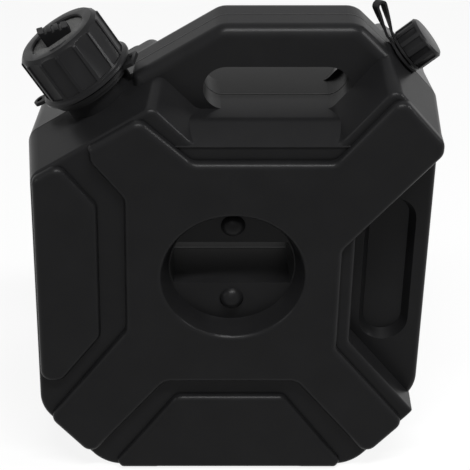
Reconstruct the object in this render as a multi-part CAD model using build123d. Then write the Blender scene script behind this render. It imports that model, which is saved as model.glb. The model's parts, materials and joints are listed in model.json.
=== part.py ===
from build123d import *
import math
import os

# A blow-moulded fuel can of the nominal 5 litre class, in millimetres.
# X runs across the can, Y runs through it and Z points up; the front face looks along -Y.
# The origin is on the ground, below the middle of the tank.

# Tank, overall
body_width = 265.0
body_height = 330.0
body_depth = 118.0
wall = 3.0

# Steps of the front and back faces, counted in from the raised cross plate
band_step = 6.0
panel_step = 1.0
grip_thickness = 60.6
handle_thickness = 41.0

# Rounding
plate_rim = 4.5
band_rim = 3.5
handle_rim = 8.0
grip_rim = 4.0
peak_rim = 7.0

# Side view of the tank at its front face
chamfer_run = 44.5
chamfer_height = 51.8
foot_corner = 28.0
side_corner = 13.0
plain_corner = 16.0
left_shoulder_drop = 23.3
left_shoulder_angle = 32.5
right_shoulder_rise = 3.2
right_shoulder_angle = 49.0

# Growth of that outline at the parting plane
left_draft = 4.4
right_draft = 2.2
shoulder_crown = 5.5

# Raised cross plate: its four notches
edge_margin = 1.0
tip_overhang = 0.5
left_waist_inset = 18.5
right_waist_inset = 18.2
waist_corner = 9.0
left_notch_rise = 69.2
left_notch_low_angle = 53.8
left_notch_drop = 14.5
left_notch_high_angle = 52.0
left_arm_edge = 10.83
left_arm_lean = 1.0
left_arm_corner = 3.2
right_notch_rise = 53.2
right_notch_low_angle = 51.3
right_notch_drop = 80.5
right_notch_high_angle = 49.9
bottom_notch_height = 78.3
bottom_notch_inset = 26.7
bottom_notch_angle = 51.3
top_notch_drop = 10.8
top_notch_inset = 2.5
top_notch_left_angle = 43.0
top_notch_right_angle = 50.7
arm_corner = 8.0

# Side panel and bottom panel
side_band = 17.2
panel_foot_height = 78.0
bottom_panel_drop = 13.3
bottom_panel_inset = 7.3
bottom_panel_angle = 54.2
bottom_panel_foot = 6.5
bottom_panel_corner = 3.0

# Hollow round the top handle
trough_depth = 67.2
trough_left_inset = 104.7
trough_right_inset = 65.5
trough_left_angle = 46.0
trough_right_angle = 50.7
trough_corner = 10.0
trough_draft = 15.8

# Top handle
handle_left_reach = 38.2
handle_left_rise = 31.7
handle_left_angle = 32.0
handle_right_reach = 36.0
handle_right_rise = 43.2
handle_right_angle = 45.0
handle_corner = 15.0
handle_end_run = 8.0
handle_end_lean = 3.0
handle_tip_corner = 2.0
handle_toe_corner = 4.0
handle_hole_inset = 7.2
handle_hole_reach = 8.0
handle_hole_height = 30.5

# Side grip: flat and its finger pocket
side_band_right = 8.8
notch_cover = 2.0
pocket_width = 34.1
pocket_shift = 0.45
pocket_drop = 9.0
pocket_rise = 25.5
pocket_depth = 7.8
pocket_slope = 4.0

# Lock recess through the middle
recess_radius = 48.5
recess_shift = 0.45
recess_floor_radius = 42.5
recess_depth = 16.0
recess_rim = 4.0
slot_height = 32.5
slot_rise = 3.0
slot_margin = 0.7
slot_draft = 0.8
dome_radius = 8.2
dome_height = 5.5
dome_offset = 29.0

# How far a cutting shape runs past the tank
overrun = 10.0

# Raised middle of the base
foot_width = 32.0
arch_height = 3.0
arch_run = 5.0

# Filler neck, square to the left shoulder
filler_foot_inset = 43.9
neck_radius = 24.0
neck_wall = 3.5
neck_sink = 9.0
neck_bead_radius = 27.6
neck_bead_height = 2.4
neck_bead_place = 7.6
neck_lip = 0.8

# Filler cap: collar, disc, gasket and grip block
collar_lift = 14.5
collar_height = 35.5
collar_radius = 30.3
collar_flange_radius = 32.6
collar_flange_height = 2.6
collar_chamfer = 3.6
collar_lip = 2.2
collar_opening = 19.5
collar_panels = 14
collar_panel_width = 11.2
collar_panel_depth = 1.5
thread_room = 1.7
lid_gap = 0.3
disc_thickness = 3.0
gasket_thickness = 2.0
grip_length = 18.8
grip_width = 12.0
grip_high = 11.5
grip_low = 4.5
grip_turn = 11.0
grip_grooves = 3
grip_groove_width = 1.8
grip_groove_depth = 1.2

# Tether ring of the filler
ring_gap = 0.4
ring_seat = 0.1
ring_width = 4.6
ring_thickness = 2.4
eye_reach = 17.0
eye_turn = -15.0
lug_reach = 8.0
lug_width = 9.0
lug_hole = 2.2
strap_lug_width = 15.0
strap_slot_width = 8.0
strap_slot_height = 2.6
strap_lug_turn = -12.0

# Vent neck on the right shoulder
vent_angle = 50.0
vent_foot_inset = 28.3
vent_foot_drop = 10.24
vent_neck_radius = 9.0
vent_bore_radius = 6.0
vent_sink = 3.0

# Vent cap and its seal
vent_cap_lift = 12.1
vent_cap_height = 15.6
vent_cap_radius = 14.8
vent_cap_chamfer = 1.4
vent_cap_top = 2.6
vent_cap_panels = 12
vent_panel_width = 4.6
vent_panel_depth = 0.8
vent_thread_room = 1.5
vent_seal_thickness = 1.6

# Vent tether: two rings and the strap between them
vent_ring_gap = 0.35
vent_ring_outer = 14.0
vent_ring_thickness = 1.6
neck_ring_place = 7.2
cap_ring_place = 10.1
strap_width = 6.0
strap_thickness = 1.6
strap_gap = 1.0
strap_spread = 2.0
strap_lean = 9.4
strap_rise = 20.6
strap_loop = 5.4

# Places that follow from the sizes above
half_width = body_width / 2
base_half = half_width - chamfer_run
foot_inner = base_half - foot_width
trough_height = body_height - trough_depth
trough_left = trough_left_inset - half_width
trough_right = half_width - trough_right_inset
left_shoulder_height = trough_height - left_shoulder_drop
right_shoulder_height = trough_height + right_shoulder_rise
handle_left_end = trough_left - handle_left_reach
handle_left_height = trough_height + handle_left_rise
handle_right_end = trough_right + handle_right_reach
handle_right_height = trough_height + handle_right_rise
handle_hole_left = trough_left + handle_hole_inset
handle_hole_right = trough_right + handle_hole_reach
waist_middle = (recess_radius + half_width) / 2
waist_left = left_waist_inset - waist_middle
waist_right = waist_middle - right_waist_inset
left_notch_low = chamfer_height + left_notch_rise
left_notch_high = left_shoulder_height - left_notch_drop
right_notch_low = chamfer_height + right_notch_rise
right_notch_high = right_shoulder_height - right_notch_drop
bottom_notch_half = -waist_left - bottom_notch_inset
top_notch_height = trough_height - top_notch_drop
top_notch_left = trough_left
top_notch_right = trough_right - top_notch_inset
bottom_panel_height = bottom_notch_height - bottom_panel_drop
bottom_panel_half = bottom_notch_half - bottom_panel_inset
recess_height = (bottom_notch_height + top_notch_height) / 2 - recess_shift
pocket_middle = (waist_right + side_band_right + half_width) / 2 - pocket_shift
pocket_low = right_notch_low - pocket_drop
pocket_high = right_notch_high + pocket_rise
plate_y = body_depth / 2
band_y = plate_y - band_step
panel_y = plate_y - panel_step
grip_y = grip_thickness / 2
handle_y = handle_thickness / 2
chamfer_angle = math.degrees(math.atan2(chamfer_height, half_width - base_half))


def meet(p, p_angle, q, q_angle):
    """Point where the line through p meets the line through q, each at its angle in degrees."""
    px, pz = math.cos(math.radians(p_angle)), math.sin(math.radians(p_angle))
    qx, qz = math.cos(math.radians(q_angle)), math.sin(math.radians(q_angle))
    t = ((q[0] - p[0]) * qz - (q[1] - p[1]) * qx) / (px * qz - pz * qx)
    return p[0] + t * px, p[1] + t * pz


def grow(corners, amount):
    """Moves every side of an outline out by amount; corners are (x, z, radius)."""
    count = len(corners)
    area = sum(
        corners[i][0] * corners[(i + 1) % count][1] - corners[(i + 1) % count][0] * corners[i][1]
        for i in range(count)
    )
    turn = 1 if area > 0 else -1
    moved = []
    for i, (x, z, radius) in enumerate(corners):
        before = Vector(x - corners[i - 1][0], z - corners[i - 1][1]).normalized()
        after = corners[(i + 1) % count]
        after = Vector(after[0] - x, after[1] - z).normalized()
        out_before = Vector(before.Y, -before.X) * turn
        out_after = Vector(after.Y, -after.X) * turn
        shift = (out_before + out_after) * (amount / (1 + out_before.dot(out_after)))
        convex = (before.X * after.Y - before.Y * after.X) * turn > 0
        new_radius = radius + amount if convex else radius - amount
        moved.append((x + shift.X, z + shift.Y, max(new_radius, 0.5) if radius else 0))
    return moved


def inner(corners, amount):
    """The outline moved by the wall's thickness, for its inside; only wide corners stay round."""
    if not amount:
        return corners
    moved = grow(corners, amount)
    return [(x, z, radius if radius > plain_corner else 0) for x, z, radius in moved]


def outline(corners, depth):
    """Face across the can, depth in front of the parting plane."""
    points = [(x, z) for x, z, _ in corners]
    radii = [radius for *_, radius in corners]
    wire = FilletPolyline(*points, radius=radii, close=True)
    place = Plane(origin=(0, -depth, 0), x_dir=(1, 0, 0), z_dir=(0, -1, 0))
    return place * make_face(wire.edges())


def edges_at(shape, depth):
    """Edges that lie flat at one depth in front of the parting plane."""
    flat = [edge for edge in shape.edges() if abs(edge.bounding_box().size.Y) < 0.01]
    return [edge for edge in flat if abs(edge.center().Y + depth) < 0.01]


def plate(corners, depth, rim=0.0):
    """Straight plate from the parting plane out to depth, its front edge rounded by rim."""
    shape = extrude(outline(corners, 0), amount=depth)
    if rim:
        shape = fillet(edges_at(shape, depth), rim)
    return shape


def corners_at(corners, depth):
    return [(x, -depth, z) for x, z, _ in corners]


def drafted(low, low_depth, high, high_depth):
    """Block between two outlines with parallel sides, at two depths; the first gives the radii."""
    start = corners_at(low, low_depth)
    end = corners_at(high, high_depth)
    walls = [
        Face(Wire.make_polygon([start[i - 1], start[i], end[i], end[i - 1]]))
        for i in range(len(start))
    ]
    ends = [Face(Wire.make_polygon(start)), Face(Wire.make_polygon(end))]
    block = Solid(Shell(walls + ends))
    for i, (*_, radius) in enumerate(low):
        if radius:
            block = fillet(edge_between(block, start[i], end[i]), radius)
    return block


def edge_between(solid, start, end):
    middle = (Vector(*start) + Vector(*end)) / 2
    return min(solid.edges(), key=lambda edge: (edge.center() - middle).length)


def left_shoulder():
    return (-half_width, left_shoulder_height)


def right_shoulder():
    return (half_width, right_shoulder_height)


def front_outline():
    """Side view of the tank at its front face, with its shoulders run up until they meet."""
    return tank_outline((0, 0), (0, 0))


def middle_outline():
    """Side view at the parting plane: each side of the front outline moved out by its draft."""
    ups = rise(left_shoulder_angle), rise(right_shoulder_angle)
    return tank_outline((left_draft, right_draft), ups)


def tank_outline(outs, ups):
    """The tank's corners, its left and right sides moved out and its shoulders moved up."""
    left, right = -half_width - outs[0], half_width + outs[1]
    left_x, left_z = left_shoulder()
    right_x, right_z = right_shoulder()
    left_roof = (left_x, left_z + ups[0]), left_shoulder_angle
    right_roof = (right_x, right_z + ups[1]), -right_shoulder_angle
    return [
        (left + chamfer_run, 0, foot_corner),
        (right - chamfer_run, 0, foot_corner),
        (right, chamfer_height, foot_corner),
        (*meet((right, 0), 90, *right_roof), side_corner),
        (*meet(*left_roof, *right_roof), 0),
        (*meet((left, 0), 90, *left_roof), side_corner),
        (left, chamfer_height, foot_corner),
    ]


def rise(angle):
    """Upright growth of a shoulder at this angle, from the front face to the parting plane."""
    return shoulder_crown / math.cos(math.radians(angle))


def trough_left_side():
    return (trough_left, trough_height), 180 - trough_left_angle


def trough_right_side():
    return (trough_right, trough_height), trough_right_angle


def trough(depth):
    """Outline of the hollow round the handle at one depth; it narrows towards the handle."""
    left, left_angle = trough_left_side()
    right, right_angle = trough_right_side()
    _, ridge, _ = middle_outline()[4]
    sky = (0, ridge + overrun)
    rim = [
        (*left, trough_corner),
        (*right, trough_corner),
        (*meet(right, right_angle, sky, 0), 0),
        (*meet(left, left_angle, sky, 0), 0),
    ]
    sides = grow(rim, (depth - band_y) * math.tan(math.radians(trough_draft)))
    return [(x, z, radius) for (x, z, _), (*_, radius) in zip(sides, rim)]


def cross_outline():
    """The raised cross plate, read round from the lower left arm."""
    low_left = (-base_half, 0)
    low_right = (base_half, 0)
    margin = edge_margin
    left_chamfer = (low_left[0] + margin, low_left[1])
    right_chamfer = (low_right[0] - margin, low_right[1])
    left_roof = (-half_width, left_shoulder_height - margin)
    right_roof = (half_width, right_shoulder_height + tip_overhang)
    side = half_width + tip_overhang
    bottom_left = (-bottom_notch_half, bottom_notch_height)
    bottom_right = (bottom_notch_half, bottom_notch_height)
    top_left = (top_notch_left, top_notch_height)
    top_right = (top_notch_right, top_notch_height)
    right_low = (waist_right, right_notch_low)
    right_high = (waist_right, right_notch_high)
    left_low = (waist_left, left_notch_low)
    left_high = (waist_left, left_notch_high)
    roof = left_shoulder_angle
    below_roof = (left_roof[0], left_roof[1] - left_arm_edge)
    arm_left = meet(left_high, 180 - left_notch_high_angle, below_roof, roof)
    arm_top = meet((arm_left[0] - left_arm_lean, 0), 90, left_roof, roof)
    return [
        (*meet(left_low, left_notch_low_angle, left_chamfer, 180 - chamfer_angle), arm_corner),
        (*meet(bottom_left, bottom_notch_angle, left_chamfer, 180 - chamfer_angle), arm_corner),
        (*bottom_left, waist_corner),
        (*bottom_right, waist_corner),
        (*meet(bottom_right, -bottom_notch_angle, right_chamfer, chamfer_angle), arm_corner),
        (*meet(right_low, -right_notch_low_angle, right_chamfer, chamfer_angle), arm_corner),
        (*right_low, waist_corner),
        (*right_high, waist_corner),
        (*meet(right_high, right_notch_high_angle, (side, 0), 90), arm_corner),
        (*meet((side, 0), 90, right_roof, -right_shoulder_angle), arm_corner),
        (*meet(right_roof, -right_shoulder_angle, top_right, top_notch_right_angle), arm_corner),
        (*top_right, waist_corner),
        (*top_left, waist_corner),
        (*meet(top_left, 180 - top_notch_left_angle, left_roof, roof), arm_corner),
        (*arm_top, left_arm_corner),
        (*arm_left, arm_corner),
        (*left_high, waist_corner),
        (*left_low, waist_corner),
    ]


def side_panel_outline():
    edge = waist_left - side_band
    side = -half_width + edge_margin
    roof = (-half_width, left_shoulder_height - edge_margin)
    low = (edge, left_notch_low - side_band * math.tan(math.radians(90 - left_notch_low_angle) / 2))
    high = (edge, left_notch_high - side_band * math.tan(math.radians(90 - left_notch_high_angle) / 2))
    return [
        (side, panel_foot_height, arm_corner),
        (*meet(low, left_notch_low_angle, (0, panel_foot_height), 0), arm_corner),
        (*low, waist_corner),
        (*high, waist_corner),
        (*meet(high, 180 - left_notch_high_angle, roof, left_shoulder_angle), arm_corner),
        (*meet((side, 0), 90, roof, left_shoulder_angle), arm_corner),
    ]


def bottom_panel_outline():
    top = (bottom_panel_half, bottom_panel_height)
    foot = meet(top, -bottom_panel_angle, (0, bottom_panel_foot), 0)
    toe = foot[0] - bottom_panel_foot / 2
    return [
        (-toe, edge_margin, bottom_panel_corner),
        (toe, edge_margin, bottom_panel_corner),
        (*foot, bottom_panel_corner),
        (*top, arm_corner),
        (-top[0], top[1], arm_corner),
        (-foot[0], foot[1], bottom_panel_corner),
    ]


def handle_outline():
    left = (handle_left_end, handle_left_height)
    right = (handle_right_end, handle_right_height)
    root = trough_height
    return [
        (left[0], root, 0),
        (right[0] - handle_end_run, root, 0),
        (right[0] - handle_end_lean, right[1] - handle_end_run, handle_tip_corner),
        (*right, handle_tip_corner),
        (*meet(right, 180 - handle_right_angle, (0, body_height), 0), handle_corner),
        (*meet(left, handle_left_angle, (0, body_height), 0), handle_corner),
        (*left, handle_toe_corner),
    ]


def handle_hole_outline():
    low = trough_height + (band_y - handle_y) * math.tan(math.radians(trough_draft))
    high = low + handle_hole_height
    end = handle_hole_height / 2 - 0.05
    return [
        (handle_hole_left, low, end),
        (handle_hole_right, low, end),
        (handle_hole_right, high, end),
        (handle_hole_left, high, end),
    ]


def grip_outline():
    """The area beside the cross plate that is cut down to the side grip."""
    edge = waist_right + side_band_right
    low = (edge, right_notch_low + side_band_right * math.tan(math.radians(90 - right_notch_low_angle) / 2))
    rise = notch_cover / math.cos(math.radians(right_notch_high_angle))
    high = (waist_right, right_notch_high + rise)
    out = half_width + 2 * overrun
    return [
        (*low, waist_corner),
        (*meet(low, -right_notch_low_angle, (out, 0), 90), 0),
        (*meet(high, right_notch_high_angle, (out, 0), 90), 0),
        (*meet(high, right_notch_high_angle, (edge, 0), 90), 0),
    ]


def arch_outline():
    top = foot_inner - arch_run
    run_out = foot_inner + arch_run
    return [
        (-run_out, -arch_height, 0),
        (run_out, -arch_height, 0),
        (top, arch_height, arch_run),
        (-top, arch_height, arch_run),
    ]


def cone_between(x, z, low_radius, low_depth, high_radius, high_depth):
    """Round block square to the front face, with its own radius at each of two depths."""
    faces = []
    for radius, depth in ((low_radius, low_depth), (high_radius, high_depth)):
        place = Plane(origin=(x, -depth, z), x_dir=(1, 0, 0), z_dir=(0, -1, 0))
        faces.append(place * Circle(radius))
    return loft(faces)


def rectangle(left, right, low, high):
    return [(left, low, 0), (right, low, 0), (right, high, 0), (left, high, 0)]


def recess(inset):
    """The conical lock recess and the slot that runs on from its floor."""
    flare = (recess_radius - recess_floor_radius) / recess_depth
    floor = plate_y - recess_depth - inset
    beyond = plate_y + overrun
    low = recess_floor_radius + inset
    high = low + flare * (beyond - floor)
    mouth = cone_between(0, recess_height, low, floor, high, beyond)
    return mouth + slot(inset, floor + slot_margin)


def slot(inset, depth):
    """Slot with round ends and a flat top and foot, a little narrower at the parting plane."""
    radius = recess_floor_radius - slot_margin + inset
    half = slot_height / 2 + inset
    middle = recess_height + slot_rise
    reach = radius + overrun
    wide = rectangle(-reach, reach, middle - half, middle + half)
    narrow = grow(wide, -slot_draft)
    ends = cone_between(0, recess_height, radius - slot_draft, 0, radius, depth)
    return ends & drafted(narrow, 0, wide, depth)


def pocket(inset):
    """Finger pocket in the side grip: a long hollow with round ends and sloping walls."""
    floor = grip_y - pocket_depth - inset
    rim_radius = pocket_width / 2 + inset
    floor_radius = rim_radius - pocket_slope
    middle = pocket_middle
    low = pocket_low + rim_radius - inset
    high = pocket_high - rim_radius + inset
    hollow = drafted(
        rectangle(middle - floor_radius, middle + floor_radius, low, high),
        floor,
        rectangle(middle - rim_radius, middle + rim_radius, low, high),
        grip_y,
    )
    for end in (low, high):
        hollow += cone_between(middle, end, floor_radius, floor, rim_radius, grip_y)
    return hollow & extrude(outline(inner(grip_outline(), inset), 0), amount=plate_y)


def tank_half(inset):
    """Front half of the tank; an inset gives the same form inside the wall."""
    shrink = -inset
    solid = drafted(
        inner(middle_outline(), shrink), 0, inner(front_outline(), shrink), band_y - inset
    )
    sky = plate_y + overrun
    handle_face = handle_y - inset
    floor = inner(trough(handle_face), inset)
    solid -= drafted(floor, handle_face, inner(trough(sky), inset), sky)
    solid -= extrude(outline(floor, 0), amount=handle_face)
    solid -= extrude(outline(inner(grip_outline(), inset), grip_y - inset), amount=sky)
    if not inset:
        solid = fillet(peak_edges(solid), peak_rim)
        solid = fillet(open_band_edges(solid), band_rim)
        solid = fillet(grip_side_edges(solid), grip_rim)
    rim = 0 if inset else plate_rim
    solid += plate(inner(cross_outline(), shrink), plate_y - inset, rim)
    solid += plate(inner(side_panel_outline(), shrink), panel_y - inset, rim)
    solid += plate(inner(bottom_panel_outline(), shrink), panel_y - inset, rim)
    solid += plate(inner(handle_outline(), shrink), handle_face, 0 if inset else handle_rim)
    solid -= extrude(outline(grow(handle_hole_outline(), inset), 0), amount=handle_y)
    solid -= extrude(outline(inner(arch_outline(), inset), 0), amount=sky)
    solid -= pocket(inset)
    solid -= recess(inset)
    if not inset:
        solid = fillet(recess_rim_edges(solid), recess_rim)
    return solid


def peak_edges(solid):
    """Edges where the two shoulders drop into the hollow round the handle."""
    upper = [edge for edge in solid.edges() if edge.center().Z > trough_height + handle_y]
    return [edge for edge in upper if edge.bounding_box().size.Y > handle_y / 2]


def open_band_edges(solid):
    """Front edges of the band, all but the one that the cross plate covers above the grip."""
    open_edges = []
    for edge in edges_at(solid, band_y):
        middle = edge.center()
        above_grip = right_notch_high < middle.Z < right_shoulder_height - side_corner
        if not (above_grip and waist_right < middle.X < half_width - 1):
            open_edges.append(edge)
    return open_edges


def grip_side_edges(solid):
    """Edges between the flat of the side grip and the upright side of the tank."""
    upright = edges_at(solid, grip_y)
    upright = [edge for edge in upright if abs(edge.bounding_box().size.X) < 0.01]
    return [edge for edge in upright if edge.center().X > half_width]


def recess_rim_edges(solid):
    rim = [edge for edge in edges_at(solid, plate_y) if edge.geom_type == GeomType.CIRCLE]
    return [edge for edge in rim if abs(edge.arc_center.Z - recess_height) < 0.1]


def dome(height_above):
    """Round stop on the recess floor, for the lock's bar."""
    floor = plate_y - recess_depth
    sphere = (dome_radius**2 + dome_height**2) / (2 * dome_height)
    centre = floor + dome_height - sphere
    ball = Pos(0, -centre, recess_height + slot_rise + height_above) * Sphere(sphere)
    return ball & Pos(0, -(floor + 9), recess_height) * Box(200, 20, 200)


def turned(profile, place):
    """Solid of revolution on a neck's axis; the profile is (radius, distance) points."""
    face = make_face(Polyline(*[(r, 0, s) for r, s in profile], close=True).edges())
    return place * revolve(face, Axis.Z)


def along(place, distance):
    return place.offset(distance)


def filler_place():
    """Plane square to the filler's axis where it leaves the shoulder; X points up the slope."""
    angle = math.radians(left_shoulder_angle)
    x = filler_foot_inset - half_width
    shoulder = left_shoulder_height + rise(left_shoulder_angle)
    z = shoulder + filler_foot_inset * math.tan(angle)
    return Plane(
        origin=(x, 0, z),
        x_dir=(math.cos(angle), 0, math.sin(angle)),
        z_dir=(-math.sin(angle), 0, math.cos(angle)),
    )


def vent_place():
    """Plane square to the vent's axis; X points down the right shoulder."""
    angle = math.radians(vent_angle)
    x = half_width - vent_foot_inset
    slope = math.tan(math.radians(right_shoulder_angle))
    shoulder = right_shoulder_height + rise(right_shoulder_angle) + vent_foot_inset * slope
    return Plane(
        origin=(x, 0, shoulder - vent_foot_drop),
        x_dir=(math.cos(angle), 0, -math.sin(angle)),
        z_dir=(math.sin(angle), 0, math.cos(angle)),
    )


lid_low = collar_lift + collar_height - collar_lip - lid_gap - disc_thickness
neck_top = lid_low - gasket_thickness
collar_bore = neck_radius + thread_room
vent_top = vent_cap_lift + vent_cap_height - vent_cap_top - lid_gap - vent_seal_thickness
vent_cap_bore = vent_neck_radius + vent_thread_room


def shoulder_block():
    """The tank between its shoulders and sides, before anything is cut from it."""
    half = drafted(middle_outline(), 0, front_outline(), band_y)
    return half + mirror(half, about=Plane.XZ)


def filler_neck():
    """Filler neck from the shoulder up, with the bead that the tether ring sits on."""
    place = filler_place()
    bead = neck_bead_radius
    low = neck_bead_place
    outside = turned(
        [
            (0, -neck_sink),
            (neck_radius, -neck_sink),
            (neck_radius, low - 1.5),
            (bead, low),
            (bead, low + neck_bead_height),
            (neck_radius, low + neck_bead_height),
            (neck_radius, neck_top - neck_lip),
            (neck_radius - neck_lip, neck_top),
            (0, neck_top),
        ],
        place,
    )
    return outside - filler_bore() - shoulder_block()


def filler_bore():
    return bore(filler_place(), neck_radius - neck_wall, -neck_sink - 1, neck_top + 1)


def vent_neck():
    chamfer = 0.6
    return turned(
        [
            (0, -vent_sink),
            (vent_neck_radius, -vent_sink),
            (vent_neck_radius, vent_top - chamfer),
            (vent_neck_radius - chamfer, vent_top),
            (0, vent_top),
        ],
        vent_place(),
    )


def bore(place, radius, low, high):
    height = high - low
    return along(place, low) * Cylinder(radius, height, align=(Align.CENTER, Align.CENTER, Align.MIN))


def tank_body():
    """The blow-moulded tank: outer form less inner form, the vent neck and the bores."""
    half = tank_half(0) - tank_half(wall)
    half += dome(dome_offset)
    half += dome(-dome_offset)
    tank = half + mirror(half, about=Plane.XZ)
    tank += vent_neck()
    tank -= filler_bore()
    tank -= bore(vent_place(), vent_bore_radius, -vent_sink - 4, vent_top + 1)
    return tank


def panel_cutter(radius, width, depth, low, high, place, count):
    """Ring of shallow flats cut round a cap, with ribs left between them."""
    reach = 6.0
    block = Box(reach, width, high - low, align=(Align.MIN, Align.CENTER, Align.MIN))
    block = Pos(radius - depth, 0, low) * block
    return [place * (Rot(0, 0, 360 * i / count) * block) for i in range(count)]


def filler_collar():
    place = along(filler_place(), collar_lift)
    ceiling = collar_height - collar_lip
    shape = turned(
        [
            (collar_bore, 0),
            (collar_flange_radius, 0),
            (collar_flange_radius, collar_flange_height - 0.8),
            (collar_radius, collar_flange_height),
            (collar_radius, collar_height - collar_chamfer),
            (collar_radius - collar_chamfer, collar_height),
            (collar_opening + 0.8, collar_height),
            (collar_opening, collar_height - 0.8),
            (collar_opening, ceiling),
            (collar_bore, ceiling),
        ],
        place,
    )
    for cut in panel_cutter(
        collar_radius,
        collar_panel_width,
        collar_panel_depth,
        collar_flange_height + 1.2,
        collar_height + 1,
        place,
        collar_panels,
    ):
        shape -= cut
    return shape


def filler_disc():
    radius = collar_bore - lid_gap
    place = along(filler_place(), lid_low)
    return turned(
        [
            (0, 0),
            (radius - 0.5, 0),
            (radius, 0.5),
            (radius, disc_thickness - 0.5),
            (radius - 0.5, disc_thickness),
            (0, disc_thickness),
        ],
        place,
    )


def filler_gasket():
    place = along(filler_place(), neck_top)
    inner = neck_radius - neck_wall - 1
    outer = neck_radius + 0.6
    return turned(
        [(inner, 0), (outer, 0), (outer, gasket_thickness), (inner, gasket_thickness)], place
    )


def disc_grip():
    """Finger ramp on the disc, higher on its downhill side and notched across its top."""
    place = along(filler_place(), lid_low + disc_thickness)
    half = grip_length / 2
    slope = (grip_low - grip_high) / grip_length
    side = Polyline((-half, 0), (half, 0), (half, grip_low), (-half, grip_high), close=True)
    shape = extrude(Plane.XZ * make_face(side.edges()), amount=grip_width / 2, both=True)
    shape = fillet(shape.edges().filter_by(Axis.Z), 1.2)
    pitch = grip_length / (grip_grooves + 1)
    for i in range(grip_grooves):
        x = (i + 1) * pitch - half
        top = grip_high + slope * (x + half)
        shape -= Pos(x, 0, top) * Box(grip_groove_width, grip_width + 2, 2 * grip_groove_depth)
    return place * Rot(0, 0, grip_turn) * shape


def filler_tether():
    """Ring round the filler neck with an eye and a slotted ear for a strap."""
    place = along(filler_place(), neck_bead_place + neck_bead_height + ring_seat)
    inner = neck_radius + ring_gap
    outer = inner + ring_width
    flat = Circle(outer)
    eye_x = -(outer + eye_reach - lug_width / 2)
    eye = Pos((eye_x - inner) / 2, 0) * Rectangle(-eye_x - inner, lug_width)
    eye += Pos(eye_x, 0) * Circle(lug_width / 2)
    flat += Rot(0, 0, eye_turn) * eye
    ear_x = outer + lug_reach / 2
    ear = Pos(ear_x - 3, 0) * RectangleRounded(lug_reach + 6, strap_lug_width, 2)
    slot = Pos(ear_x, 0) * Rectangle(strap_slot_height, strap_slot_width)
    flat += Rot(0, 0, strap_lug_turn) * ear
    flat -= Rot(0, 0, strap_lug_turn) * slot
    flat -= Circle(inner)
    flat -= Rot(0, 0, eye_turn) * (Pos(eye_x, 0) * Circle(lug_hole))
    return place * extrude(flat, amount=ring_thickness)


def vent_cap():
    place = along(vent_place(), vent_cap_lift)
    chamfer = vent_cap_chamfer
    ceiling = vent_cap_height - vent_cap_top
    shape = turned(
        [
            (vent_cap_bore, 0),
            (vent_cap_radius, 0),
            (vent_cap_radius, vent_cap_height - chamfer),
            (vent_cap_radius - chamfer, vent_cap_height),
            (0, vent_cap_height),
            (0, ceiling),
            (vent_cap_bore, ceiling),
        ],
        place,
    )
    for cut in panel_cutter(
        vent_cap_radius,
        vent_panel_width,
        vent_panel_depth,
        -1,
        vent_cap_height - 2.2,
        place,
        vent_cap_panels,
    ):
        shape -= cut
    return shape


def vent_seal():
    radius = vent_cap_bore - lid_gap
    place = along(vent_place(), vent_top)
    return turned(
        [(0, 0), (radius, 0), (radius, vent_seal_thickness), (0, vent_seal_thickness)], place
    )


def vent_ring(low):
    inner = vent_neck_radius + vent_ring_gap
    high = low + vent_ring_thickness
    return turned(
        [(inner, low), (vent_ring_outer, low), (vent_ring_outer, high), (inner, high)], vent_place()
    )


def vent_strap():
    """Hairpin strap: out from the neck ring, up, over, and back down to the cap ring."""
    place = vent_place()
    reach = vent_ring_outer - 1.0
    clear = vent_cap_radius + strap_gap + strap_thickness / 2
    low = neck_ring_place + vent_ring_thickness / 2
    high = cap_ring_place + vent_ring_thickness / 2
    local = [(-reach, low), (-clear - strap_spread, low), (-clear, high), (-reach, high)]
    start, low_turn, high_turn, end = [place.from_local_coords((r, 0, s)) for r, s in local]
    tip = (low_turn.X - strap_lean, low_turn.Z + strap_rise)
    route = [
        (start.X, start.Z),
        (low_turn.X, low_turn.Z),
        tip,
        (tip[0] + strap_loop, tip[1] + strap_loop * 0.75),
        (high_turn.X, high_turn.Z),
        (end.X, end.Z),
    ]
    line = FilletPolyline(*route, radius=[1.6, strap_loop / 2, strap_loop / 2, 0.9])
    band = trace(line, strap_thickness)
    return extrude(Plane.XZ * band, amount=strap_width / 2, both=True)


def vent_tether():
    return vent_ring(neck_ring_place) + vent_ring(cap_ring_place) + vent_strap()


def main():
    os.makedirs("parts", exist_ok=True)
    pieces = {
        "tank_body": tank_body,
        "filler_neck": filler_neck,
        "filler_collar": filler_collar,
        "filler_disc": filler_disc,
        "disc_grip": disc_grip,
        "filler_gasket": filler_gasket,
        "filler_tether": filler_tether,
        "vent_cap": vent_cap,
        "vent_seal": vent_seal,
        "vent_tether": vent_tether,
    }
    for name, make in pieces.items():
        export_step(make(), f"parts/{name}.step")


main()
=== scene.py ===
# %% [markdown]
# A flat black fuel can, moulded in one hollow piece of plastic, with a screw cap for filling and
# a small vent cap held on by a strap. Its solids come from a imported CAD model, already in metres
# and in place. This file dresses them: it gives every solid a plastic or rubber finish, adds the
# small parts that CAD leaves out, such as screw threads, and lights the whole as in a studio.

# %% load the solids
import json
import math

import bmesh
import bpy
from mathutils import Matrix, Vector


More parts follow.
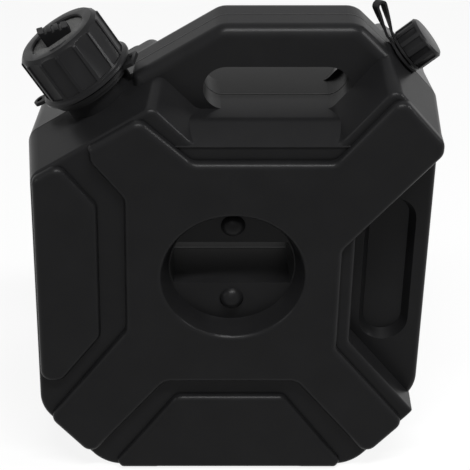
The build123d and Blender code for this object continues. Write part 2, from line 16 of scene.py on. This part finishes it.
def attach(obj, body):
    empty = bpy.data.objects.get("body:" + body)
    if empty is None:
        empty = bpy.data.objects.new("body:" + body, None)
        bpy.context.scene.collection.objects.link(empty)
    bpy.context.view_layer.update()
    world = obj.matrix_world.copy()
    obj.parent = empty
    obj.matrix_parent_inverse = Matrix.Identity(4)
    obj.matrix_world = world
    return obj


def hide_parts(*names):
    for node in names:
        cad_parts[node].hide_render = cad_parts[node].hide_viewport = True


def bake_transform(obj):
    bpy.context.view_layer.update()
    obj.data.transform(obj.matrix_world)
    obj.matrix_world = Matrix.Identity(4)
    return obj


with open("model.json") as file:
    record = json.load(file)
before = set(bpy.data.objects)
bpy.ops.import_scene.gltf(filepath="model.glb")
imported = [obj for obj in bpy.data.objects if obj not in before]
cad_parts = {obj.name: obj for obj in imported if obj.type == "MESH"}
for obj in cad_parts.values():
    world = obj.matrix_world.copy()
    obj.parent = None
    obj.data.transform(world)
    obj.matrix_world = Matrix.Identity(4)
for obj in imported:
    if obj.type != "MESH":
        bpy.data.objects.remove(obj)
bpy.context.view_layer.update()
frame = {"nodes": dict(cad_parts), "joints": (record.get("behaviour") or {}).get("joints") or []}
nodes = frame["nodes"]
print("solids:", ", ".join(sorted(nodes)))

# %% [markdown]
# A finish is a graph of shader nodes. Written out node by node it is long and hard to follow, so
# two small classes keep it short. Signal wraps the output of a node and lets it be added,
# multiplied or divided as if it were a number; each step adds a Math node. Finish holds the graph
# of one material, or of the world, and makes every other node from its type, settings and inputs.

# %% shader arithmetic
class Signal:
    """An output socket that takes part in arithmetic."""

    def __init__(self, finish, socket):
        self.finish = finish
        self.socket = socket

    def math(self, operation, first, second):
        settings = {"operation": operation}
        return self.finish.node("ShaderNodeMath", settings, {0: first, 1: second})

    def __add__(self, other):
        return self.math("ADD", self, other)

    def __rsub__(self, other):
        return self.math("SUBTRACT", other, self)

    def __mul__(self, other):
        return self.math("MULTIPLY", self, other)

    def __truediv__(self, other):
        return self.math("DIVIDE", self, other)

    def __abs__(self):
        return self.math("ABSOLUTE", self, 0)

    def least(self, other):
        return self.math("MINIMUM", self, other)

    def most(self, other):
        return self.math("MAXIMUM", self, other)

    __radd__ = __add__
    __rmul__ = __mul__


# %% a material and its nodes
class Finish:
    """The node graph of one material or of the world."""

    def __init__(self, owner):
        self.owner = owner
        owner.use_nodes = True
        self.tree = owner.node_tree
        self.tree.nodes.clear()

    def node(self, kind, settings=None, inputs=None, output=0):
        made = self.tree.nodes.new(kind)
        for name, value in (settings or {}).items():
            if name == "stops":
                self.set_stops(made.color_ramp, value)
            else:
                setattr(made, name, value)
        for name, value in (inputs or {}).items():
            socket = made.inputs[name]
            if isinstance(value, Signal):
                self.tree.links.new(value.socket, socket)
            else:
                socket.default_value = value
        return Signal(self, made.outputs[output])

    def set_stops(self, ramp, stops):
        while len(ramp.elements) < len(stops):
            ramp.elements.new(1.0)
        for element, (place, level) in zip(ramp.elements, stops):
            element.position = place
            element.color = (level, level, level, 1.0)

    def place(self):
        """Where a point lies on the object, in metres, and its X, Y and Z."""
        where = self.node("ShaderNodeTexCoord", output="Object")
        parts = self.node("ShaderNodeSeparateXYZ", None, {0: where})
        axes = [Signal(self, socket) for socket in parts.socket.node.outputs]
        return where, axes

    def noise(self, where, scale, detail=2.0, roughness=0.5):
        inputs = {"Vector": where, "Scale": scale, "Detail": detail, "Roughness": roughness}
        return self.node("ShaderNodeTexNoise", None, inputs)

    def stretched(self, where, scales):
        return self.node("ShaderNodeMapping", {"vector_type": "POINT"}, {0: where, "Scale": scales})

    def ramp(self, signal, stops):
        return self.node("ShaderNodeValToRGB", {"stops": stops}, {0: signal})

    def mix(self, factor, first, second):
        """Blend of two colours."""
        inputs = {0: factor, 6: first, 7: second}
        return self.node("ShaderNodeMix", {"data_type": "RGBA"}, inputs, output=2)

    def bump(self, height, distance, strength=1.0, under=None):
        inputs = {"Height": height, "Distance": distance, "Strength": strength}
        if under:
            inputs["Normal"] = under
        return self.node("ShaderNodeBump", None, inputs)

    def surface(self, **values):
        """The Principled shader; what is the same all over is set on its own sockets."""
        inputs = {name.replace("_", " "): value for name, value in values.items()}
        shader = self.node("ShaderNodeBsdfPrincipled", None, inputs)
        return self.end_in(shader)

    def end_in(self, shader, kind="ShaderNodeOutputMaterial"):
        out = self.tree.nodes.new(kind)
        self.tree.links.new(shader.socket, out.inputs["Surface"])
        return self.owner


def new_finish(name):
    return Finish(bpy.data.materials.new(name))


# %% [markdown]
# The tank is blow-moulded polyethylene. Air presses the soft plastic against a blasted mould, so
# its skin has a fine, even grain, is a little wavy over wide areas, and its gloss drifts from
# place to place. A raised line runs all round where the two mould halves met. The can stands on
# the middle of that mould, so the line is simply where Y is zero. Three noises at three scales
# give the grain, the mottle and the waves, a fourth that is stretched upright gives the scuffs,
# and the line is a narrow bump at Y = 0.

# %% tank plastic
SPECULAR = 0.07
MOTTLE_SIZE, WAVE_SIZE, SCUFF_SIZE = 0.022, 0.06, 0.009
SCUFF_STRETCH = (1.0, 1.0, 0.18)
SEAM_HALF_WIDTH = 0.0007


def parting_line(across, half_width):
    """One on the line, falling to zero at half_width each side."""
    return (1 - abs(across) / half_width).most(0.0)


def moulded_plastic(name, colour, worn, roughness, grain, seam=0.0):
    """Satin moulded plastic; grain is the size of its skin's texture in metres."""
    finish = new_finish(name)
    where, (_, across, _) = finish.place()
    skin = finish.noise(where, 1 / grain, detail=3.0, roughness=0.6)
    mottle = finish.noise(where, 1 / MOTTLE_SIZE, detail=4.0, roughness=0.55)
    waves = finish.noise(where, 1 / WAVE_SIZE, detail=1.0)
    upright = finish.stretched(where, SCUFF_STRETCH)
    streaks = finish.noise(upright, 1 / SCUFF_SIZE, detail=6.0, roughness=0.7)
    scuffs = finish.ramp(streaks, [(0.62, 0.0), (0.78, 1.0)])
    tint = finish.mix((mottle * 0.55 + scuffs * 0.35).least(1.0), (*colour, 1), (*worn, 1))
    gloss = roughness - 0.05 + mottle * 0.08 + scuffs * 0.07 + skin * 0.02
    normal = finish.bump(waves, 0.0012, 0.25)
    normal = finish.bump(skin, grain * 0.12, 0.55, normal)
    if seam:
        line = parting_line(across, SEAM_HALF_WIDTH)
        normal = finish.bump(line, seam, 0.8, normal)
    return finish.surface(
        Base_Color=tint, Roughness=gloss, Normal=normal, IOR=1.5, Specular_IOR_Level=SPECULAR
    )


tank_plastic = moulded_plastic(
    "tank_polyethylene", (0.0052, 0.0052, 0.0055), (0.0104, 0.0104, 0.0108), 0.32, 0.0006, seam=0.0005
)
print("made", tank_plastic.name)

# %% [markdown]
# The caps are injection moulded from a stiffer plastic. Their skin is smoother, so they shine a
# little more than the tank. The strap is softer and duller, and the grip on the disc is the
# darkest and most matt of all. One function makes all three, with other colours and grain.

# %% cap plastic
cap_plastic = moulded_plastic(
    "cap_polypropylene", (0.006, 0.006, 0.0063), (0.014, 0.014, 0.0145), 0.30, 0.00045
)
strap_plastic = moulded_plastic(
    "strap_polythene", (0.007, 0.007, 0.0073), (0.015, 0.015, 0.0155), 0.36, 0.0005
)
grip_plastic = moulded_plastic(
    "grip_plastic", (0.0025, 0.0025, 0.0027), (0.006, 0.006, 0.0062), 0.46, 0.0004
)
print("made", cap_plastic.name, strap_plastic.name, grip_plastic.name)

# %% [markdown]
# The loose disc under the collar is greyer and rougher than anything else on the can, like
# plastic that was moulded against coarsely sparked steel. A strong fine noise in both colour and
# bump gives it that dusty look.

# %% disc plastic
PIT_SIZE, PATCH_SIZE = 0.0011, 0.009


def rough_disc():
    finish = new_finish("disc_rough_plastic")
    where, _ = finish.place()
    pits = finish.noise(where, 1 / PIT_SIZE, detail=5.0, roughness=0.75)
    patches = finish.noise(where, 1 / PATCH_SIZE, detail=3.0)
    light = finish.ramp(pits, [(0.38, 0.0), (0.68, 1.0)])
    tint = finish.mix(light * 0.6 + patches * 0.4, (0.022, 0.022, 0.022, 1), (0.11, 0.11, 0.108, 1))
    normal = finish.bump(pits, 0.0003, 0.8)
    return finish.surface(
        Base_Color=tint, Roughness=0.5 + pits * 0.25, Normal=normal, Specular_IOR_Level=0.2
    )


disc_plastic = rough_disc()
print("made", disc_plastic.name)

# %% [markdown]
# The two seals are soft black rubber: almost no gloss, with a faint bloom of grey where the
# rubber has aged.

# %% seal rubber
BLOOM_SIZE, RUBBER_GRAIN = 0.006, 0.0005


def soft_rubber():
    finish = new_finish("seal_rubber")
    where, _ = finish.place()
    bloom = finish.noise(where, 1 / BLOOM_SIZE, detail=4.0)
    skin = finish.noise(where, 1 / RUBBER_GRAIN)
    tint = finish.mix(bloom * 0.8, (0.008, 0.008, 0.008, 1), (0.03, 0.03, 0.029, 1))
    normal = finish.bump(skin, 0.00006, 0.5)
    return finish.surface(
        Base_Color=tint, Roughness=0.68 + bloom * 0.15, Normal=normal, Specular_IOR_Level=0.25
    )


rubber = soft_rubber()
print("made", rubber.name)

# %% [markdown]
# Each solid gets the finish of its own material slot. The filler neck is moulded in one with the
# tank, so the two share one finish. The shapes of the solids are never touched; only the material
# in their slots changes.

# %% give every solid its finish
finishes = {
    "tank_body": tank_plastic,
    "filler_neck": tank_plastic,
    "filler_collar": cap_plastic,
    "filler_disc": disc_plastic,
    "disc_grip": grip_plastic,
    "filler_gasket": rubber,
    "filler_tether": strap_plastic,
    "vent_cap": cap_plastic,
    "vent_seal": rubber,
    "vent_tether": strap_plastic,
}


def dress(piece, material):
    piece.data.materials.clear()
    piece.data.materials.append(material)


for node, material in finishes.items():
    dress(nodes[node], material)
print("dressed", len(finishes), "solids")

# %% [markdown]
# Both caps screw on, so each axis is needed often. The filler's axis leans left by the slope of
# its shoulder, the vent's leans right. An axis frame is a matrix whose Z is the cap's axis:
# whatever is modelled upright at the origin lands on the neck when this matrix moves its mesh.

# %% the two screw axes
def axis_frame(foot, lean):
    """Matrix with its origin at foot and Z leaning from upright towards +X by lean degrees."""
    return Matrix.Translation(foot) @ Matrix.Rotation(math.radians(lean), 4, "Y")


def joint_axis(name):
    joint = next(j for j in frame["joints"] if j["name"] == name)
    return Vector(joint["pos_m"]), Vector(joint["axis"]).normalized()


filler_foot, filler_axis = joint_axis("collar_turn")
vent_foot, vent_axis = joint_axis("vent_turn")
filler_frame = axis_frame(filler_foot, math.degrees(math.atan2(filler_axis.x, filler_axis.z)))
vent_frame = axis_frame(vent_foot, math.degrees(math.atan2(vent_axis.x, vent_axis.z)))
for cap, axis in (("filler", filler_axis), ("vent", vent_axis)):
    print(cap, "axis", tuple(round(v, 3) for v in axis))

# %% [markdown]
# The knurled collar, the small cap and the grip catch light along every rib, because moulded
# edges are never knife sharp. A Bevel modifier rounds them. It needs a mesh whose triangles are
# joined, so each is a merged copy of its solid, which then stands for that solid.

# %% rounded copies of the caps
SAME_POINT = 2e-6
FLAT_ANGLE = 0.5


def finished(name, mesh_source, material, body):
    """Object for a finished bmesh, with its place in its mesh."""
    mesh = bpy.data.meshes.new(name)
    mesh_source.to_mesh(mesh)
    mesh_source.free()
    piece = bpy.data.objects.new(name, mesh)
    bpy.context.scene.collection.objects.link(piece)
    dress(piece, material)
    if body:
        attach(piece, body)
    return piece


def rounded_copy(node, name, width, body):
    """Merged copy of a solid with its sharp edges rounded by width."""
    shape = bmesh.new()
    shape.from_mesh(nodes[node].data)
    bmesh.ops.remove_doubles(shape, verts=shape.verts, dist=SAME_POINT)
    bmesh.ops.dissolve_limit(
        shape, angle_limit=math.radians(FLAT_ANGLE), verts=shape.verts, edges=shape.edges
    )
    piece = finished(name, shape, finishes[node], body)
    bevel = piece.modifiers.new("rounded_edges", "BEVEL")
    bevel.width = width
    bevel.segments = 2
    bevel.limit_method = "ANGLE"
    bevel.angle_limit = math.radians(32)
    bevel.harden_normals = False
    piece.data.set_sharp_from_angle(angle=math.radians(50))
    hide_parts(node)
    print(name, "has", len(piece.data.polygons), "faces before its edges are rounded")


rounded_copy("filler_collar", "knurled_collar", 0.0003, "collar")
rounded_copy("vent_cap", "ribbed_vent_cap", 0.00025, "vent_screw_cap")
rounded_copy("disc_grip", "grip_block", 0.0003, "filler_lid")

# %% [markdown]
# A screw thread is a small ridge that climbs as it goes round. Spinning one ridge section about
# the axis, and lifting it a little at every step, draws it in one call. Outer threads grow out
# of the necks, and inner threads point inwards in the caps, with room between the two.

# %% screw threads
STEPS_PER_TURN = 40
THREAD_SINK = 0.0004


def thread(name, radius, depth, foot, pitch, turns, place, body, material):
    """Ridge of a thread: depth is positive outwards and negative inwards."""
    sunk = radius - math.copysign(THREAD_SINK, depth)
    tip = radius + depth
    half = pitch * 0.22
    shape = bmesh.new()
    section = [(sunk, -half), (tip, -half * 0.35), (tip, half * 0.35), (sunk, half)]
    corners = [shape.verts.new((r, 0, foot + z)) for r, z in section]
    start = shape.faces.new(corners)
    steps = int(STEPS_PER_TURN * turns)
    bmesh.ops.spin(
        shape, geom=[start, *start.edges, *start.verts], cent=(0, 0, 0), axis=(0, 0, 1),
        dvec=(0, 0, pitch * turns / steps), angle=math.radians(360 * turns), steps=steps,
        use_merge=False,
    )
    bmesh.ops.transform(shape, matrix=place, verts=shape.verts)
    bmesh.ops.recalc_face_normals(shape, faces=shape.faces)
    piece = finished(name, shape, material, body)
    print(name, "is", len(piece.data.polygons), "faces over", turns, "turns")


thread_turns = 2.2
neck_radius, collar_bore, filler_pitch = 0.024, 0.0257, 0.005
thread("filler_neck_thread", neck_radius, 0.0007, 0.0260, filler_pitch, thread_turns,
       filler_frame, "tank", tank_plastic)
thread("collar_thread", collar_bore, -0.0008, 0.0285, filler_pitch, thread_turns,
       filler_frame, "collar", cap_plastic)
vent_radius, vent_bore, vent_pitch = 0.009, 0.0105, 0.0028
thread("vent_neck_thread", vent_radius, 0.0006, 0.0135, vent_pitch, thread_turns,
       vent_frame, "tank", tank_plastic)
thread("vent_cap_thread", vent_bore, -0.0006, 0.0145, vent_pitch, thread_turns,
       vent_frame, "vent_screw_cap", cap_plastic)

# %% [markdown]
# Under the handle the floor of the can rises into a low shelf with sloping sides, which stiffens
# it where a full can hangs from the hand. Its section is the same all along, so four corners are
# drawn once and extruded from one end wall to the other, both ends sunk in those walls.

# %% shelf under the handle
SHELF_SECTION = [(-0.0540, 0.2623), (-0.0350, 0.2724), (0.0465, 0.2724), (0.0575, 0.2623)]
SHELF_ROUND = 0.003


def upper_long_edges(shape):
    """Edges that run along X at the top of the shelf."""
    middle_height = (SHELF_SECTION[0][1] + SHELF_SECTION[1][1]) / 2
    return [edge for edge in shape.edges
            if edge.verts[0].co.x != edge.verts[1].co.x and edge.verts[0].co.z > middle_height]


def handle_shelf(left, right):
    shape = bmesh.new()
    end = shape.faces.new([shape.verts.new((left, y, z)) for y, z in SHELF_SECTION])
    grown = bmesh.ops.extrude_face_region(shape, geom=[end])
    moved = [part for part in grown["geom"] if isinstance(part, bmesh.types.BMVert)]
    bmesh.ops.translate(shape, verts=moved, vec=(right - left, 0, 0))
    bmesh.ops.bevel(shape, geom=upper_long_edges(shape), offset=SHELF_ROUND,
                    affect="EDGES", segments=4, profile=0.5, material=-1)
    bmesh.ops.recalc_face_normals(shape, faces=shape.faces)
    open_edges = sum(edge.is_boundary for edge in shape.edges)
    piece = finished("handle_shelf", shape, tank_plastic, "tank")
    piece.data.set_sharp_from_angle(angle=math.radians(40))
    print("shelf has", len(piece.data.polygons), "faces and", open_edges, "open edges")


handle_shelf(-0.0385, 0.0765)

# %% [markdown]
# The vent's strap is one flexible moulding that joins a ring on the neck to a ring under the cap.
# When the cap comes off, the ring on the neck stays and the other goes with the cap, and the
# hairpin between them opens. Here the strap is a merged copy of its solid.
# A soft ribbon never stays in one plane, so the loop is also twisted a little about its own length.
# The straight legs have no points between their ends, so planes are first cut across them.

# %% twist of the strap's loop
def twist_loop(shape, foot, top, degrees, steps):
    """Turn the ribbon about the line from foot to top, from nothing at foot to all of it at top."""
    line = top - foot
    for step in range(steps):
        bmesh.ops.bisect_plane(
            shape, geom=[*shape.verts, *shape.edges, *shape.faces],
            plane_co=foot + line * (step / steps), plane_no=line,
        )
    for vert in shape.verts:
        share = (vert.co - foot).dot(line) / line.length_squared
        angle = math.radians(degrees) * min(max(share, 0.0), 1.0)
        vert.co = foot + Matrix.Rotation(angle, 3, line) @ (vert.co - foot)


# %% twisted strap
loop_foot, loop_top = Vector((0.1001, 0.0, 0.3170)), Vector((0.0937, 0.0, 0.3335))


def hairpin():
    shape = bmesh.new()
    shape.from_mesh(nodes["vent_tether"].data)
    bmesh.ops.remove_doubles(shape, verts=shape.verts, dist=SAME_POINT)
    twist_loop(shape, loop_foot, loop_top, 30, 8)
    piece = finished("vent_strap", shape, strap_plastic, None)
    piece.data.set_sharp_from_angle(angle=math.radians(40))
    return piece


strap = hairpin()
print("strap has", len(strap.data.polygons), "faces")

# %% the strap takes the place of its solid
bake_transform(strap)
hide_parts("vent_tether")

# %% [markdown]
# The photograph was taken from in front and above with a long lens. The camera looks down at 32
# degrees, and a sideways lens shift puts the can where it stands in the picture without turning
# the camera.

# %% camera
def look_from(place, elevation, lens, shift):
    data = bpy.data.cameras.new("studio_camera")
    data.lens = lens
    data.sensor_width = 36.0
    data.shift_x, data.shift_y = shift
    data.dof.use_dof = False
    data.clip_end = 50
    camera = bpy.data.objects.new("studio_camera", data)
    camera.location = place
    camera.rotation_euler = (math.radians(90 - elevation), 0, 0)
    bpy.context.scene.collection.objects.link(camera)
    bpy.context.scene.camera = camera
    print("camera lens", lens, "mm")


look_from((-0.0419, -0.9972, 0.7857), elevation=32.0, lens=129.45, shift=(0.1383, 0.0))

# %% [markdown]
# The floor is a plain pale sheet. Seen by the camera, in reflections or through glass, it and the
# world are white, which is what a strength of 1 gives. The can itself is lit by the lamps and by
# only a trace of light from the world. A share of plain diffuse white is left in the floor, so
# that it keeps a soft shadow.

# %% floor and world
def white_to_the_eye(finish):
    """One for rays from the camera, in reflections and through clear parts."""
    paths = finish.node("ShaderNodeLightPath").socket.node.outputs
    seen = [Signal(finish, paths[name]) for name in
            ("Is Camera Ray", "Is Glossy Ray", "Is Transmission Ray")]
    return seen[0].most(seen[1]).most(seen[2])


def floor_material(shadow):
    finish = new_finish("pale_floor")
    sheet = finish.node("ShaderNodeBsdfDiffuse", None, {"Color": (0.8, 0.8, 0.8, 1)})
    white = finish.node("ShaderNodeEmission", None, {"Color": (1, 1, 1, 1), "Strength": 1.0})
    share = white_to_the_eye(finish) * (1 - shadow)
    return finish.end_in(finish.node("ShaderNodeMixShader", None, {0: share, 1: sheet, 2: white}))


def floor(size):
    shape = bmesh.new()
    bmesh.ops.create_grid(shape, x_segments=1, y_segments=1, size=size)
    mesh = bpy.data.meshes.new("floor")
    shape.to_mesh(mesh)
    shape.free()
    sheet = bpy.data.objects.new("floor", mesh)
    bpy.context.scene.collection.objects.link(sheet)
    dress(sheet, floor_material(shadow=0.12))
    print("floor is", 2 * size, "m wide")


floor(6.0)

# %% world light
def studio_world(light):
    finish = Finish(bpy.data.worlds.new("studio"))
    eye = white_to_the_eye(finish)
    strength = eye * (1 - light) + light
    inputs = {"Color": (1, 1, 1, 1), "Strength": strength}
    sky = finish.node("ShaderNodeBackground", None, inputs)
    bpy.context.scene.world = finish.end_in(sky, "ShaderNodeOutputWorld")


studio_world(light=0.06)
print("world is ready")

# %% [markdown]
# Black plastic shows little but its highlights, so the lamps are placed for them. A long narrow
# lamp high above the front draws bright lines on every edge that faces up, one on the right lights
# the sloping shoulder and the small cap, a weak one on the left keeps the filler side from going
# flat, and a wide weak one in front fills the recess.

# %% lamps
def lamp(name, place, target, size, power):
    data = bpy.data.lights.new(name, "AREA")
    data.shape = "RECTANGLE"
    data.size, data.size_y = size
    data.energy = power
    light = bpy.data.objects.new(name, data)
    light.location = place
    aim = Vector(target) - Vector(place)
    light.rotation_euler = aim.to_track_quat("-Z", "Y").to_euler()
    bpy.context.scene.collection.objects.link(light)


middle = (0, 0, 0.17)
lamp("overhead", (0.1, -0.55, 1.35), middle, (0.9, 0.12), 24)
lamp("right", (1.1, -0.1, 0.8), middle, (0.3, 0.3), 7)
lamp("left", (-1.2, -0.4, 0.6), middle, (0.3, 0.5), 3)
lamp("front_fill", (-0.3, -1.5, 1.2), middle, (0.8, 0.5), 3)
print("lamps are ready")

# %% colour handling
bpy.context.scene.view_settings.view_transform = "Standard"
